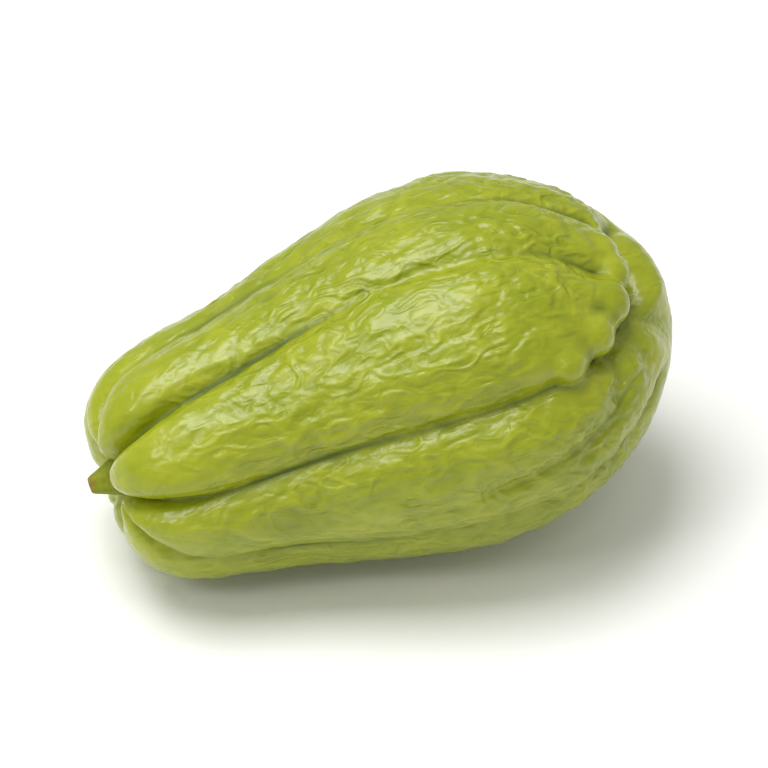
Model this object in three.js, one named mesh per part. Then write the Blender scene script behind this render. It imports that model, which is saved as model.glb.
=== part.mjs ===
import * as THREE from "three";

// A whole chayote lying on its side, millimetres, Z up, X along its length with the stem at -X.
// The fruit is one solid, furrowed lengthwise, with a cleft round the knuckled lobes of its wide
// end. A stub of its stalk stands in the pit at its narrow end, clear of the lobes round it.

// Stretch of the round cross-section: sideways, upwards, and downwards by station, as the
// underside of the neck is fuller and rests on the table too
const SIDEWAYS = 1.06;
const UPWARDS = 0.96;
const DOWNWARDS = [[0.3, 1.07], [0.36, 1.07], [0.46, 1.02], [0.56, 0.97], [0.66, 0.96]];

// Degrees that the blossom end is raised above the stem end when the fruit lies at rest
const LEAN = 10.2;

// How much of the underside is pressed flat where the fruit rests
const REST_FLAT = 0.9;

// Outline over the crests of the lobes: distance along the axis, distance out from it
const CROWN = new THREE.SplineCurve([
  [-61.5, 0.0], [-62.8, 4.2], [-67.0, 7.6], [-69.9, 12.6], [-68.0, 19.6], [-61.0, 25.8],
  [-50.0, 29.4], [-34.0, 32.2], [-17.0, 37.2], [0.0, 42.0], [16.0, 44.2], [30.0, 43.4],
  [43.0, 38.8], [54.0, 31.4], [62.4, 22.2], [67.4, 14.0], [69.8, 8.4], [70.4, 4.0], [70.4, 0.0],
].map(([along, out]) => new THREE.Vector2(along, out)));

// Part of the axis that furrows are pressed towards
const CORE_FROM = -46;
const CORE_TO = 40;

// Furrows: line gives [share of the outline, degrees round the axis], 0 at the front, 90 on top,
// 180 behind and 270 below; depth and reach are spread evenly along the line.
const FURROWS = [
  {
    name: "front furrow, deep from stem pit to cleft",
    rows: 14,
    line: [[0.05, 28], [0.14, 24], [0.23, 20.5], [0.27, 19], [0.33, 17.5], [0.37, 19], [0.41, 22],
      [0.45, 24], [0.53, 24.5], [0.59, 24], [0.655, 25], [0.684, 25]],
    depth: [2, 7, 7.5, 6, 5.5, 5.5, 6, 7, 8.5],
    reach: [3, 5, 8, 12, 16, 18, 18, 16, 12],
  },
  {
    name: "upper front furrow",
    rows: 10,
    line: [[0.05, 60], [0.14, 63], [0.21, 65], [0.276, 68], [0.348, 73], [0.417, 76.5], [0.471, 78],
      [0.535, 77.5], [0.6, 75.5], [0.662, 73], [0.7, 67], [0.744, 59], [0.785, 52]],
    depth: [2, 7, 7.5, 5.5, 4, 3, 2.8, 3.4, 6, 8],
    reach: [3, 5, 7, 10, 13, 14, 14, 12, 9, 9],
  },
  {
    name: "top furrow, shallow",
    rows: 9,
    line: [[0.16, 88], [0.21, 97], [0.24, 104], [0.28, 109], [0.37, 111], [0.436, 110.5],
      [0.525, 108.5], [0.6, 104], [0.68, 100], [0.745, 97]],
    depth: [3, 4, 2.6, 2, 2, 2.4, 2.8, 5],
    reach: [3, 6, 8, 10, 11, 11, 11, 9],
  },
  {
    name: "back upper furrow",
    rows: 8,
    line: [[0.06, 150], [0.14, 142], [0.25, 140], [0.4, 142], [0.6, 140], [0.76, 134]],
    depth: [2, 7, 5, 3.4, 3, 3.6, 2],
    reach: [3, 5, 9, 13, 15, 14, 10],
  },
  {
    name: "back middle crease, wide half only",
    rows: 8,
    line: [[0.06, 180], [0.3, 180], [0.45, 178], [0.6, 176], [0.75, 172], [0.85, 165]],
    depth: [0, 0, 0, 1.6, 2.6, 2.4, 0.5],
    reach: [4, 6, 8, 11, 12, 11, 6],
  },
  {
    name: "back furrow, deep",
    rows: 8,
    line: [[0.06, 228], [0.14, 224], [0.25, 219], [0.4, 213], [0.6, 209], [0.75, 205], [0.86, 190]],
    depth: [2, 7, 6.5, 5.5, 5.5, 6, 6.5, 2],
    reach: [3, 5, 9, 14, 17, 16, 12, 6],
  },
  {
    name: "back lower furrow, shallow",
    rows: 9,
    line: [[0.14, 246], [0.25, 250], [0.4, 249], [0.6, 246], [0.74, 244]],
    depth: [2, 3.4, 2.4, 2.2, 2.4, 2.2],
    reach: [4, 7, 10, 12, 12, 8],
  },
  {
    name: "underside furrow",
    rows: 8,
    line: [[0.06, 288], [0.14, 288], [0.25, 292], [0.4, 294], [0.6, 296], [0.75, 300], [0.86, 310]],
    depth: [2, 7, 5.5, 4.4, 4, 4.4, 4.8, 1.5],
    reach: [3, 5, 9, 13, 15, 14, 10, 6],
  },
  {
    name: "lower front furrow",
    rows: 7,
    line: [[0.17, 372], [0.205, 361], [0.225, 352], [0.25, 345], [0.29, 338.5], [0.334, 334], [0.4, 335],
      [0.47, 334], [0.532, 338], [0.6, 337], [0.68, 336], [0.77, 343]],
    depth: [3, 6, 5.5, 4.4, 3.2, 3.2, 3.6, 4.4, 4],
    reach: [3, 5, 8, 10, 13, 13, 13, 12, 9],
  },
  {
    name: "front lower crease, wide half only",
    rows: 9,
    line: [[0.2, 370], [0.35, 359], [0.45, 351], [0.5, 353], [0.546, 356], [0.61, 358], [0.65, 359],
      [0.69, 363], [0.72, 369]],
    depth: [0, 0, 0, 1.4, 2.4, 2.8, 3, 2.4],
    reach: [6, 6, 7, 9, 10, 10, 10, 8],
  },
];

// Station of the cleft that runs round the tips of the front lobes, by azimuth
const CLEFT = [[8, 0.8], [24, 0.7], [32, 0.735], [39, 0.77], [46, 0.79], [55, 0.8], [69, 0.805],
  [82, 0.8], [94, 0.79], [110, 0.79], [124, 0.8]];
const CLEFT_STATION = 0.8;
const CLEFT_SPAN = [0.62, 0.93];

// Creases of the blossom end, given in the same way, which no row of points follows
const FOLDS = [
  {
    name: "cleft round the front lobes",
    line: [[0.684, 25], [0.71, 26], [0.735, 32], [0.77, 39], [0.79, 46], [0.8, 55], [0.805, 69],
      [0.8, 82], [0.79, 94], [0.79, 110], [0.8, 124]],
    depth: [8.5, 9.5, 11, 13, 13, 12, 10, 8.5, 6, 3],
    reach: [12, 12, 12, 12, 12, 12, 12, 11, 10, 8],
  },
  {
    name: "crease between first and second knuckle",
    line: [[0.735, 33], [0.715, 35], [0.708, 39], [0.699, 44], [0.69, 47.5]],
    depth: [8, 8, 6, 4, 1],
    reach: [7, 7.5, 8, 8, 8],
  },
  {
    name: "crease between second and third knuckle",
    line: [[0.68, 26], [0.662, 28.5], [0.662, 32], [0.66, 36], [0.659, 40]],
    depth: [7, 7, 5, 3, 1],
    reach: [7, 7, 8, 8, 8],
  },
  {
    name: "crease between the upper lobe's two knuckles",
    line: [[0.79, 70], [0.765, 70.5], [0.749, 71.5], [0.742, 77]],
    depth: [8, 7, 5, 1],
    reach: [7, 8, 8, 8],
  },
  {
    name: "end of the lobe below the front furrow",
    line: [[0.69, 28], [0.704, 21.5], [0.704, 17], [0.701, 12.5], [0.689, 7]],
    depth: [7, 5.5, 4.5, 4, 3],
    reach: [8, 9, 9, 9, 9],
  },
];

// Softer creases across the lobes beyond the cleft, given in the same way
const SOFT_FOLDS = [
  {
    name: "crease across the lobe beyond the front furrow",
    line: [[0.738, 34], [0.748, 25.5], [0.754, 21], [0.756, 15], [0.76, 5]],
    depth: [6, 5, 4, 3, 1],
    reach: [8, 9, 9, 9, 9],
  },
  {
    name: "crease between the lobes beyond the cleft",
    line: [[0.772, 38], [0.789, 30.5], [0.82, 20], [0.87, 5]],
    depth: [6.5, 5, 3.6, 1.5],
    reach: [9, 11, 12, 9],
  },
];

// Rounded knuckles of the lobes' tips: station, azimuth, radius, how far they stand out
const KNUCKLES = [
  [0.732, 48.5, 9, 0.9],
  [0.694, 36.5, 7.4, 0.9],
  [0.648, 31, 6.8, 0.6],
  [0.755, 64, 7.3, 0.8],
  [0.75, 79, 8, 0.7],
];

// How steeply a knuckle's sides fall, and how widely it blends into its lobe
const KNUCKLE_FALL = 1.1;
const KNUCKLE_BLEND = 1.2;

// How sharply the floors of the long furrows, of the short folds and of the soft folds are
// pinched, and how far the flesh beside them is rounded like a ball instead
const FURROW_SHAPE = { pinch: 3.2, roundness: 0.5 };
const FOLD_SHAPE = { pinch: 2.2, roundness: 0.5 };
const SOFT_FOLD_SHAPE = { pinch: 1.5, roundness: 0 };

// Rings along the outline: from station, to station, how many; closer at both ends
const RING_SPANS = [[0, 0.3, 14], [0.3, 0.62, 11], [0.62, 0.8, 20], [0.8, 0.88, 7], [0.88, 1, 5]];

// Least angle kept between the rows of two furrows, and how closely the rows crowd towards the
// floors: share of a lobe, by station
const LEAST_LOBE = 9;
const ROW_CROWDING = [[0.62, 0.09], [0.72, 0.03]];
const SPREADING_PASSES = 30;

// Stem stub from its cut end to its seat in the pit: distance along the axis, distance out from it
const STUB_OUTLINE = [
  [-73.4, 0], [-73.6, 1.5], [-73.1, 2.1], [-71.2, 2.7], [-68.6, 3.8], [-65.8, 4.8], [-64.4, 4.3],
  [-63.0, 3.0], [-61.9, 0],
];
const STUB_RIDGES = 5;
const STUB_RIDGE_SHARE = 0.13;
const STUB_SIDES = 20;

function valueAlong(values, share) {
  const place = THREE.MathUtils.clamp(share, 0, 1) * (values.length - 1);
  const before = Math.min(Math.floor(place), values.length - 2);
  return THREE.MathUtils.lerp(values[before], values[before + 1], place - before);
}

// Value at a place in a list of [place, value] pairs, held at both ends
function lookUp(pairs, place) {
  if (place <= pairs[0][0]) return pairs[0][1];
  for (let index = 1; index < pairs.length; index += 1) {
    const [from, to] = [pairs[index - 1], pairs[index]];
    if (place <= to[0]) return THREE.MathUtils.mapLinear(place, from[0], to[0], from[1], to[1]);
  }
  return pairs[pairs.length - 1][1];
}

function crownPoint(station, azimuth) {
  const outline = CROWN.getPoint(station);
  const turn = THREE.MathUtils.degToRad(azimuth);
  const upright = Math.sin(turn) > 0 ? UPWARDS : lookUp(DOWNWARDS, station);
  return new THREE.Vector3(
    outline.x,
    -Math.cos(turn) * outline.y * SIDEWAYS,
    Math.sin(turn) * outline.y * upright,
  );
}

// Straight pieces of a furrow's line over the crown, with depth and reach at both ends
function tracePieces(furrow, { pinch, roundness }) {
  const path = new THREE.SplineCurve(furrow.line.map((place) => new THREE.Vector2(...place)));
  const steps = 3 * (furrow.line.length - 1);
  const points = path.getPoints(steps).map((place) => crownPoint(place.x, place.y));
  return points.slice(1).map((end, index) => ({
    pinch,
    roundness,
    span: new THREE.Line3(points[index], end),
    depth: [valueAlong(furrow.depth, index / steps), valueAlong(furrow.depth, (index + 1) / steps)],
    reach: [valueAlong(furrow.reach, index / steps), valueAlong(furrow.reach, (index + 1) / steps)],
  }));
}

const TRACES = [
  ...FURROWS.map((furrow) => tracePieces(furrow, FURROW_SHAPE)),
  ...FOLDS.map((fold) => tracePieces(fold, FOLD_SHAPE)),
  ...SOFT_FOLDS.map((fold) => tracePieces(fold, SOFT_FOLD_SHAPE)),
];

function depthOfTrace(pieces, point) {
  const nearest = new THREE.Vector3();
  let deepest = 0;
  for (const { pinch, roundness, span, depth, reach } of pieces) {
    const share = span.closestPointToPointParameter(point, true);
    const distance = span.at(share, nearest).distanceTo(point);
    const width = THREE.MathUtils.lerp(reach[0], reach[1], share);
    if (distance < width) {
      const floor = THREE.MathUtils.lerp(depth[0], depth[1], share);
      const nearness = 1 - distance / width;
      const rounded = 1 - Math.sqrt(1 - nearness ** 2);
      const profile = THREE.MathUtils.lerp(nearness ** pinch, rounded, roundness);
      deepest = Math.max(deepest, floor * profile);
    }
  }
  return deepest;
}

function coreOf(point) {
  return new THREE.Vector3(THREE.MathUtils.clamp(point.x, CORE_FROM, CORE_TO), 0, 0);
}

// Lesser of two depths, rounded off where they are nearly the same
function blendedLeast(first, second, blend) {
  const overlap = Math.max(blend - Math.abs(first - second), 0) / blend;
  return Math.min(first, second) - (overlap ** 2 * blend) / 4;
}

// Depth of a point of the crown, where the furrows press it in and the knuckles fill it again
function depthBelowCrown(point) {
  const pressed = Math.cbrt(TRACES.reduce((sum, pieces) => sum + depthOfTrace(pieces, point) ** 3, 0));
  return KNUCKLES.reduce((least, [station, azimuth, radius, proud]) => {
    const share = crownPoint(station, azimuth).distanceTo(point) / radius;
    return blendedLeast(least, KNUCKLE_FALL * radius * share ** 3 - proud, KNUCKLE_BLEND);
  }, pressed);
}

// Point of the fruit's skin: the crown moved towards the core
function skinPoint(station, azimuth) {
  const crown = crownPoint(station, azimuth);
  const core = coreOf(crown);
  const outward = crown.clone().sub(core).normalize();
  return core.addScaledVector(outward, crown.distanceTo(core) - depthBelowCrown(crown));
}

// Azimuths of the rows at a station: one row in each furrow's floor, the others closer to them
function rowAzimuths(station) {
  const floors = FURROWS.map((furrow) => lookUp(furrow.line, station));
  for (let pass = 0; pass < SPREADING_PASSES; pass += 1) {
    floors.forEach((floor, index) => {
      const next = (index + 1) % floors.length;
      const turn = next === 0 ? 360 : 0;
      const lack = LEAST_LOBE - (floors[next] + turn - floor);
      if (lack > 0) {
        floors[index] -= lack / 2;
        floors[next] += lack / 2;
      }
    });
  }
  const crowding = lookUp(ROW_CROWDING, station);
  return floors.flatMap((floor, index) => {
    const next = index + 1 < floors.length ? floors[index + 1] : floors[0] + 360;
    const { rows } = FURROWS[index];
    return Array.from({ length: rows }, (_, row) => {
      const share = row / rows;
      return THREE.MathUtils.lerp(floor, next, share - crowding * Math.sin(2 * Math.PI * share));
    });
  });
}

// Closed solid from rings of points between two poles
function ringSolid(rings, firstPole, lastPole) {
  const sides = rings[0].length;
  const points = [firstPole, ...rings.flat(), lastPole];
  const faces = [];
  for (let side = 0; side < sides; side += 1) {
    const next = (side + 1) % sides;
    faces.push(0, 1 + side, 1 + next);
    for (let ring = 0; ring + 1 < rings.length; ring += 1) {
      const here = 1 + ring * sides;
      const there = here + sides;
      faces.push(here + side, there + next, here + next);
      faces.push(here + side, there + side, there + next);
    }
    const edge = 1 + (rings.length - 1) * sides;
    faces.push(points.length - 1, edge + next, edge + side);
  }
  const geometry = new THREE.BufferGeometry().setFromPoints(points);
  geometry.setIndex(faces);
  return geometry;
}

// Rings near the blossom end swing with the cleft, so that one lies in its floor
function swungStation(station, azimuth) {
  const [first, last] = CLEFT_SPAN;
  if (station <= first || station >= last) return station;
  const cleft = lookUp(CLEFT, azimuth % 360);
  return station < CLEFT_STATION
    ? THREE.MathUtils.mapLinear(station, first, CLEFT_STATION, first, cleft)
    : THREE.MathUtils.mapLinear(station, CLEFT_STATION, last, cleft, last);
}

function fruitGeometry() {
  const stations = RING_SPANS.flatMap(([from, to, count]) => Array.from(
    { length: count },
    (_, ring) => THREE.MathUtils.lerp(from, to, ring / count),
  )).slice(1);
  const rings = stations.map((station) => rowAzimuths(station).map(
    (azimuth) => skinPoint(swungStation(station, azimuth), azimuth),
  ));
  return ringSolid(rings, crownPoint(0, 0), crownPoint(1, 0));
}

function stubGeometry() {
  const inner = STUB_OUTLINE.slice(1, -1);
  const rings = inner.map(([along, out]) => Array.from({ length: STUB_SIDES }, (_, side) => {
    const turn = (2 * Math.PI * side) / STUB_SIDES;
    const ridged = out * (1 + STUB_RIDGE_SHARE * Math.cos(STUB_RIDGES * turn));
    return new THREE.Vector3(along, -Math.cos(turn) * ridged, Math.sin(turn) * ridged);
  }));
  const [first, last] = [STUB_OUTLINE[0], STUB_OUTLINE[STUB_OUTLINE.length - 1]];
  return ringSolid(rings, new THREE.Vector3(first[0], 0, 0), new THREE.Vector3(last[0], 0, 0));
}

const fruit = fruitGeometry();
const stub = stubGeometry();
const pieces = [fruit, stub];

// Raise the blossom end, set the fruit down, press its lowest spots flat and centre it
pieces.forEach((piece) => piece.rotateY(THREE.MathUtils.degToRad(-LEAN)));
fruit.computeBoundingBox();
const floor = fruit.boundingBox.min.z + REST_FLAT;
pieces.forEach((piece) => piece.translate(0, 0, -floor));
const heights = fruit.getAttribute("position");
for (let index = 0; index < heights.count; index += 1) {
  heights.setZ(index, Math.max(0, heights.getZ(index)));
}

const group = new THREE.Group();
function addPiece(name, geometry, material) {
  geometry.computeVertexNormals();
  const mesh = new THREE.Mesh(geometry, new THREE.MeshStandardMaterial(material));
  mesh.name = name;
  group.add(mesh);
}
addPiece("fruit", fruit, { color: "#a3ad43", roughness: 0.4, metalness: 0 });
addPiece("stem_stub", stub, { color: "#8a8430", roughness: 0.7, metalness: 0 });

const middle = new THREE.Box3().setFromObject(group).getCenter(new THREE.Vector3());
pieces.forEach((piece) => piece.translate(-middle.x, -middle.y, 0));

export default group;
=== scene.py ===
import math

import bpy
import numpy as np
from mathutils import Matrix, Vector, noise


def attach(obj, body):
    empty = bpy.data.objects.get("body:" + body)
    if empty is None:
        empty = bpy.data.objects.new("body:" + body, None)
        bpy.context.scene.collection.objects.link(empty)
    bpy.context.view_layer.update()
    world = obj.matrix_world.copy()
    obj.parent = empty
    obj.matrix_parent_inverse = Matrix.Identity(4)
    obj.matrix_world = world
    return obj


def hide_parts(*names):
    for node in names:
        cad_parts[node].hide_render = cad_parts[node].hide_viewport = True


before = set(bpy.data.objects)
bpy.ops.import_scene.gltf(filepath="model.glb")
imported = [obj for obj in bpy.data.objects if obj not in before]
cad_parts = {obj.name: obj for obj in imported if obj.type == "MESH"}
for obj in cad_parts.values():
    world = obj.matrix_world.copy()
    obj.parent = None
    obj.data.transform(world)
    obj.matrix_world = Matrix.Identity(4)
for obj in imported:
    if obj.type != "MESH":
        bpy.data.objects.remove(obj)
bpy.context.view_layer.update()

# Camera: a long lens from 2.8 m, front left of the fruit and well above it, so that the stem end
# is nearer and the lobes of the blossom end turn away. The frame is square, 768 by 768.
camera_turn = math.radians(-17.4)
camera_rise = math.radians(40)
camera_distance = 2.8
view_width = 0.1808
sensor_width = 36
aim = Vector((0.0013, 0.0, 0.0405))
towards_camera = Vector((
    math.sin(camera_turn) * math.cos(camera_rise),
    -math.cos(camera_turn) * math.cos(camera_rise),
    math.sin(camera_rise),
))
camera_data = bpy.data.cameras.new("camera")
camera_data.sensor_width = sensor_width
camera_data.lens = sensor_width * camera_distance / view_width
camera_data.clip_end = 20
camera = bpy.data.objects.new("camera", camera_data)
camera.location = aim + camera_distance * towards_camera
camera.rotation_euler = towards_camera.to_track_quat("Z", "Y").to_euler()
bpy.context.collection.objects.link(camera)
bpy.context.scene.camera = camera

# Fruit: one grown piece, a thin waxy skin over crisp flesh, with long furrows between its lobes.
# It grew on its stalk. Its skin is finely wrinkled over the wide part, and smooth where the lobes
# round over at their tips.
merge_distance = 0.00001
quad_angle = math.radians(60)


def whole_copy(node, name):
    """A merged copy of a CAD node's mesh, in quads where they fit, as an object of its own."""
    bpy.ops.object.select_all(action="DESELECT")
    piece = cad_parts[node].copy()
    piece.data = piece.data.copy()
    piece.name = piece.data.name = name
    piece.data.materials.clear()
    piece.parent = None
    bpy.context.collection.objects.link(piece)
    bpy.context.view_layer.objects.active = piece
    piece.select_set(True)
    bpy.ops.object.transform_apply(location=True, rotation=True, scale=True)
    bpy.ops.object.mode_set(mode="EDIT")
    bpy.ops.mesh.select_all(action="SELECT")
    bpy.ops.mesh.remove_doubles(threshold=merge_distance)
    bpy.ops.mesh.tris_convert_to_quads(face_threshold=quad_angle, shape_threshold=quad_angle)
    bpy.ops.object.mode_set(mode="OBJECT")
    return piece


def subdivide(piece, levels):
    """Rounds the facets of a piece, by that many levels of subdivision."""
    rounding = piece.modifiers.new("rounding", "SUBSURF")
    rounding.levels = rounding.render_levels = levels
    bpy.ops.object.modifier_apply(modifier=rounding.name)
    bpy.ops.object.shade_smooth()


def read_points(piece, field):
    """The place ("co") or the outward direction ("normal") of every point, in rows of x, y, z."""
    values = np.empty(len(piece.data.vertices) * 3)
    piece.data.vertices.foreach_get(field, values)
    return values.reshape(-1, 3)


def hollowness(piece, rounds):
    """How far each point lies under the mesh smoothed over its neighbours, in metres."""
    edges = np.empty(len(piece.data.edges) * 2, dtype=int)
    piece.data.edges.foreach_get("vertices", edges)
    edges = edges.reshape(-1, 2)
    points = read_points(piece, "co")
    smooth = points.copy()
    neighbours = np.zeros(len(points))
    np.add.at(neighbours, edges.ravel(), 1)
    for _ in range(rounds):
        pulled = np.zeros_like(smooth)
        np.add.at(pulled, edges[:, 0], smooth[edges[:, 1]])
        np.add.at(pulled, edges[:, 1], smooth[edges[:, 0]])
        smooth = pulled / neighbours[:, None]
    return np.einsum("ij,ij->i", smooth - points, read_points(piece, "normal"))


fruit = whole_copy("fruit", "fruit_skin")
subdivide(fruit, levels=2)
hollow = hollowness(fruit, rounds=60)

# Wrinkles: winding waves, sharp creases and broad swells, pressed into the skin and longer along
# the fruit than across it. Their sizes are in metres, and the rates say how often a thing comes
# for each wave. The seed fixes where noise_vector starts, which is another place in each run
# without one.
wrinkle_seed = 7
wave_length = 0.0044
wave_width = 0.0026
wave_depth = 0.0006
winding = 1.5
winding_rate = 0.4
crease_depth = 0.00028
crease_rate = 0.8
crease_sharpness = 3.5
crease_start = Vector((3, 8, 5))
swell_depth = 0.0006
swell_rate = 0.3
swell_start = Vector((9, 2, 4))
noise.seed_set(wrinkle_seed)


def wrinkle(x, y, z):
    """The waves, the creases and the broad swells at a point of the skin, each about 0 to 1."""
    grain = Vector((x / wave_length, y / wave_width, z / wave_width))
    wound = grain + winding * noise.noise_vector(grain * winding_rate)
    wave = 0.5 + noise.noise(wound)
    crease = max(0, 1 - crease_sharpness * abs(noise.noise(wound * crease_rate + crease_start)))
    swell = 0.5 + noise.noise(grain * swell_rate + swell_start)
    return wave, crease, swell


skin = read_points(fruit, "co")
outward = read_points(fruit, "normal")
waves, creases, swells = np.clip([wrinkle(*point) for point in skin], 0, 1).T

# How far the wrinkles have grown, from 0 to 1: they start past the lobes' tips round the stem,
# at the first of these places along the fruit, and are in full from the second. They fade in the
# furrows, down to a share that is left, at the hollowness given.
smooth_before = -0.071
wrinkled_from = -0.036
furrow_hollow = 0.0012
furrow_share = 0.15
grown = np.interp(skin[:, 0], (smooth_before, wrinkled_from), (0, 1))
grown *= 1 - (1 - furrow_share) * np.clip(hollow / furrow_hollow, 0, 1)

# The skin is nearly smooth on the knuckles, where the front lobes end in small round bulges, and
# on the far tip of the blossom end. The small pits between the knuckles are partly filled.
knuckles = (
    (0.035, -0.037, 0.066),
    (0.045, -0.030, 0.067),
    (0.052, -0.021, 0.070),
    (0.055, -0.012, 0.072),
)
knuckle_core = 0.006
knuckle_reach = 0.015
far_tip_from = 0.050
far_tip_full = 0.062
tip_share = 0.1
pit_fill = 0.6
pit_depth = 0.0009
from_knuckle = np.min([np.linalg.norm(skin - knuckle, axis=1) for knuckle in knuckles], axis=0)
knuckled = np.interp(from_knuckle, (knuckle_core, knuckle_reach), (1, 0))
smooth = np.maximum(knuckled, np.interp(skin[:, 0], (far_tip_from, far_tip_full), (0, 1)))
grown *= 1 - (1 - tip_share) * smooth

# Even the smoothest skin keeps a share of its creases and waves. None is pressed in where the
# fruit rests, so that it still touches what it lies on.
least_crease = 0.1
least_wave = 0.15
unpressed_below = 0.002
creased = creases * (least_crease + (1 - least_crease) * grown)
waved = least_wave + (1 - least_wave) * grown
pressed = crease_depth * creased + (wave_depth * waves + swell_depth * swells) * waved
pressed -= pit_fill * knuckled * np.clip(hollow, 0, pit_depth)
pressed *= np.clip(skin[:, 2] / unpressed_below, 0, 1)
skin -= outward * pressed[:, None]
skin[:, 2] = np.maximum(skin[:, 2], 0)
fruit.data.vertices.foreach_set("co", skin.ravel())

# What the skin's material reads at each point. The hollowness sets the shade painted into the
# furrows. It is 1 at the depth given, and less on the smooth tips, where less shade is painted.
deep_hollow = 0.002
tip_shade_fade = 0.4
shadowed = np.clip(hollow / deep_hollow, -1, 1) * (1 - tip_shade_fade * smooth)
for name, values in (("hollow", shadowed), ("creased", creased), ("grown", grown)):
    layer = fruit.data.attributes.new(name, "FLOAT", "POINT")
    layer.data.foreach_set("value", values)
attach(fruit, "root")
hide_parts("fruit")


def linear(code):
    """A colour written as sRGB hex, as the linear values that Blender takes."""
    channels = [int(code[place:place + 2], 16) / 255 for place in (1, 3, 5)]
    return (*[c / 12.92 if c <= 0.04045 else ((c + 0.055) / 1.055) ** 2.4 for c in channels], 1)


def add_node(tree, kind, settings=None, inputs=None):
    """A node with its settings, and its inputs set to values or linked to other nodes' outputs."""
    node = tree.nodes.new(kind)
    for name, value in (settings or {}).items():
        setattr(node, name, value)
    for name, value in (inputs or {}).items():
        if isinstance(value, bpy.types.NodeSocket):
            tree.links.new(value, node.inputs[name])
        else:
            node.inputs[name].default_value = value
    return node


def new_finish(name):
    """A material of that name, and its node tree with nothing in it yet."""
    finish = bpy.data.materials.new(name)
    finish.use_nodes = True
    finish.node_tree.nodes.clear()
    return finish, finish.node_tree


# Chayote skin: cutin wax over living cells, so it shines softly and lets a little light through.
# Shade is painted into its colour:
# a darker green in the furrows, the creases and the valleys of the squiggles, so the crests of the
# lobes look paler. It is blotched in two greens about 9 mm across, and between the wrinkles it has
# grains of 2.6 mm and fine squiggles, whose lines wind round patches of 5.3 mm. All are longer
# along the fruit by the stretch.
crest_green = linear("#8C970F")
crest_yellow = linear("#A1A820")
painted_wrinkle_shade_green = linear("#72820A")
painted_furrow_shade_green = linear("#4C5C06")
blotch_size = 0.009091
grain_size = 0.0026316
patch_size = 0.0052632
stretch = (0.6, 1, 1)
squiggle_turns = 17
# How strongly painted shade darkens the valleys of the squiggles and the creases.
squiggle_shade = 0.22
squiggle_height = 0.3
crease_shade = 0.3
relief_height = 0.00055
waxy_skin, tree = new_finish("waxy chayote skin")
place = add_node(tree, "ShaderNodeTexCoord").outputs["Object"]
depth = add_node(tree, "ShaderNodeAttribute", {"attribute_name": "hollow"}).outputs["Fac"]
creased = add_node(tree, "ShaderNodeAttribute", {"attribute_name": "creased"}).outputs["Fac"]
grown = add_node(tree, "ShaderNodeAttribute", {"attribute_name": "grown"}).outputs["Fac"]
# Painted shade: how strongly the furrows are painted a darker green, read from their hollowness.
# It also dulls the shine there.
furrow_shade = add_node(tree, "ShaderNodeMapRange", inputs={
    "Value": depth, "From Min": -0.02, "From Max": 0.45,
}).outputs["Result"]
stretched = add_node(tree, "ShaderNodeMapping", inputs={
    "Vector": place, "Scale": stretch,
}).outputs["Vector"]
blotch = add_node(tree, "ShaderNodeTexNoise", inputs={
    "Vector": stretched, "Scale": 1 / blotch_size, "Detail": 4, "Roughness": 0.6,
}).outputs["Fac"]
blotched = add_node(tree, "ShaderNodeMapRange", inputs={
    "Value": blotch, "From Min": 0.32, "From Max": 0.68,
}).outputs["Result"]
crest = add_node(tree, "ShaderNodeMix", {"data_type": "RGBA"}, {
    "Factor": blotched, "A": crest_green, "B": crest_yellow,
}).outputs["Result"]
grain = add_node(tree, "ShaderNodeTexNoise", inputs={
    "Vector": stretched, "Scale": 1 / grain_size, "Detail": 1, "Roughness": 0.4, "Distortion": 1.0,
}).outputs["Fac"]
patch = add_node(tree, "ShaderNodeTexNoise", inputs={
    "Vector": stretched, "Scale": 1 / patch_size, "Detail": 0, "Distortion": 0.6,
}).outputs["Fac"]
phase = add_node(tree, "ShaderNodeMath", {"operation": "MULTIPLY"}, {
    0: patch, 1: squiggle_turns,
}).outputs["Value"]
squiggle = add_node(tree, "ShaderNodeMath", {"operation": "SINE"}, {0: phase}).outputs["Value"]
# Painted shade: the valleys of the squiggles and the creases are mixed towards a darker green.
valley = add_node(tree, "ShaderNodeMapRange", inputs={
    "Value": squiggle, "From Min": 1, "From Max": -1, "To Max": squiggle_shade,
}).outputs["Result"]
groove_shade = add_node(tree, "ShaderNodeMath", {"operation": "MULTIPLY"}, {
    0: valley, 1: grown,
}).outputs["Value"]
shaded = add_node(tree, "ShaderNodeMath", {"operation": "MULTIPLY_ADD"}, {
    0: creased, 1: crease_shade, 2: groove_shade,
}).outputs["Value"]
# Painted shade in the creases and the squiggles' valleys.
veined = add_node(tree, "ShaderNodeMix", {"data_type": "RGBA"}, {
    "Factor": shaded, "A": crest, "B": painted_wrinkle_shade_green,
}).outputs["Result"]
# Painted shade: the furrows are mixed towards a darker green.
colour = add_node(tree, "ShaderNodeMix", {"data_type": "RGBA"}, {
    "Factor": furrow_shade, "A": veined, "B": painted_furrow_shade_green,
}).outputs["Result"]
height = add_node(tree, "ShaderNodeMath", {"operation": "MULTIPLY_ADD"}, {
    0: squiggle, 1: squiggle_height, 2: grain,
}).outputs["Value"]
fineness = add_node(tree, "ShaderNodeMapRange", inputs={
    "Value": grown, "To Min": 0.25, "To Max": 0.9,
}).outputs["Result"]
relief = add_node(tree, "ShaderNodeBump", inputs={
    "Height": height, "Strength": fineness, "Distance": relief_height,
}).outputs["Normal"]
dullness = add_node(tree, "ShaderNodeMapRange", inputs={
    "Value": furrow_shade, "To Min": 0.3, "To Max": 0.7,
}).outputs["Result"]
shader = add_node(tree, "ShaderNodeBsdfPrincipled", inputs={
    "Base Color": colour, "Roughness": dullness, "Normal": relief,
    "IOR": 1.45, "Specular IOR Level": 0.45, "Coat Weight": 0.22, "Coat Roughness": 0.13,
    "Subsurface Weight": 0.1, "Subsurface Radius": (0.6, 1.0, 0.2), "Subsurface Scale": 0.003,
}).outputs["BSDF"]
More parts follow.
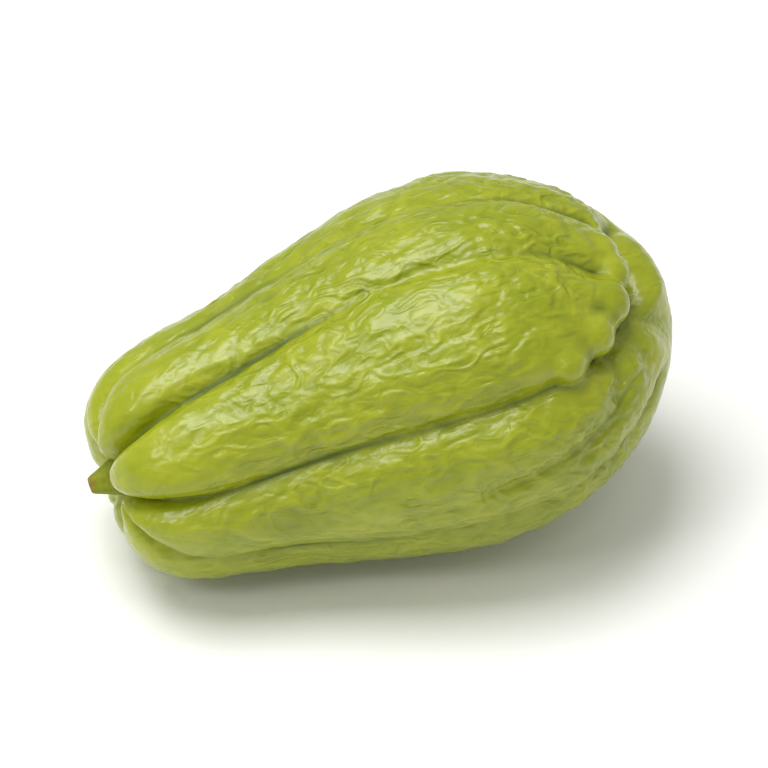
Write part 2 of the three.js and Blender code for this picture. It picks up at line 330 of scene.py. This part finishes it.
add_node(tree, "ShaderNodeOutputMaterial", inputs={"Surface": shader})
fruit.data.materials.append(waxy_skin)

# Stem stub: the last of the fruit's own stalk, fibrous and ridged, cut short when the fruit was
# picked. It stands in the pit between the lobes of the narrow end, where it grew.
stub = whole_copy("stem_stub", "stem_stub_dried")
subdivide(stub, levels=3)
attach(stub, "root")
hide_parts("stem_stub")

# Chayote stalk: plant fibre, matte and green, gone brown at the cut end, at these places along
# the fruit. Its fibres are drawn 1.1 mm apart, because the real ones are too fine to show.
stalk_green = linear("#66750E")
stalk_yellow = linear("#969B24")
cut_brown = linear("#85702A")
brown_before = -0.0711
green_from = -0.0697
fibre_spacing = 0.0011111
fibre_height = 0.0004
dry_stalk, tree = new_finish("drying chayote stalk")
place = add_node(tree, "ShaderNodeTexCoord").outputs["Object"]
along = add_node(tree, "ShaderNodeSeparateXYZ", inputs={"Vector": place}).outputs["X"]
dried = add_node(tree, "ShaderNodeMapRange", inputs={
    "Value": along, "From Min": brown_before, "From Max": green_from, "To Min": 1, "To Max": 0,
}).outputs["Result"]
fibre = add_node(tree, "ShaderNodeTexNoise", inputs={
    "Vector": place, "Scale": 1 / fibre_spacing, "Detail": 3,
}).outputs["Fac"]
green = add_node(tree, "ShaderNodeMix", {"data_type": "RGBA"}, {
    "Factor": fibre, "A": stalk_green, "B": stalk_yellow,
}).outputs["Result"]
colour = add_node(tree, "ShaderNodeMix", {"data_type": "RGBA"}, {
    "Factor": dried, "A": green, "B": cut_brown,
}).outputs["Result"]
relief = add_node(tree, "ShaderNodeBump", inputs={
    "Height": fibre, "Strength": 0.5, "Distance": fibre_height,
}).outputs["Normal"]
shader = add_node(tree, "ShaderNodeBsdfPrincipled", inputs={
    "Base Color": colour, "Roughness": 0.7, "Specular IOR Level": 0.25, "Normal": relief,
}).outputs["BSDF"]
add_node(tree, "ShaderNodeOutputMaterial", inputs={"Surface": shader})
stub.data.materials.append(dry_stalk)

# Floor: a plain sheet of matte white paper, lying flat under the fruit and far wider than the
# view. It isn't part of the fruit.
floor_width = 12
paper_white = linear("#F8F8F6")
bpy.ops.object.select_all(action="DESELECT")
bpy.ops.mesh.primitive_plane_add(size=floor_width, location=(0, 0, 0))
floor = bpy.context.object
floor.name = "paper_floor"
paper, tree = new_finish("matte white paper")
shader = add_node(tree, "ShaderNodeBsdfPrincipled", inputs={
    "Base Color": paper_white, "Roughness": 0.8,
}).outputs["BSDF"]
add_node(tree, "ShaderNodeOutputMaterial", inputs={"Surface": shader})
floor.data.materials.append(paper)

# Light: a large soft box overhead, a smaller one high on the left, which glints on the tips of
# the lobes round the stem, a weak one in front, and an even pale room round them.
def soft_box(name, place, size, power):
    """A square light of that size in metres and power in watts, turned to the fruit."""
    data = bpy.data.lights.new(name, "AREA")
    data.shape = "SQUARE"
    data.size = size
    data.energy = power
    box = bpy.data.objects.new(name, data)
    box.location = place
    box.rotation_euler = (Vector(place) - aim).to_track_quat("Z", "Y").to_euler()
    bpy.context.collection.objects.link(box)


soft_box("overhead light", place=(-0.3, 0.12, 1.3), size=0.85, power=15.5)
soft_box("left light", place=(-1.1, -0.5, 1.15), size=0.35, power=3.4)
soft_box("front light", place=(-0.1, -1.0, 1.4), size=0.3, power=1)
room_white = linear("#FFFFFF")
room_strength = 0.48
room = bpy.data.worlds.new("pale room")
room.use_nodes = True
background = room.node_tree.nodes["Background"]
background.inputs["Color"].default_value = room_white
background.inputs["Strength"].default_value = room_strength
bpy.context.scene.world = room
bpy.context.scene.view_settings.view_transform = "Standard"
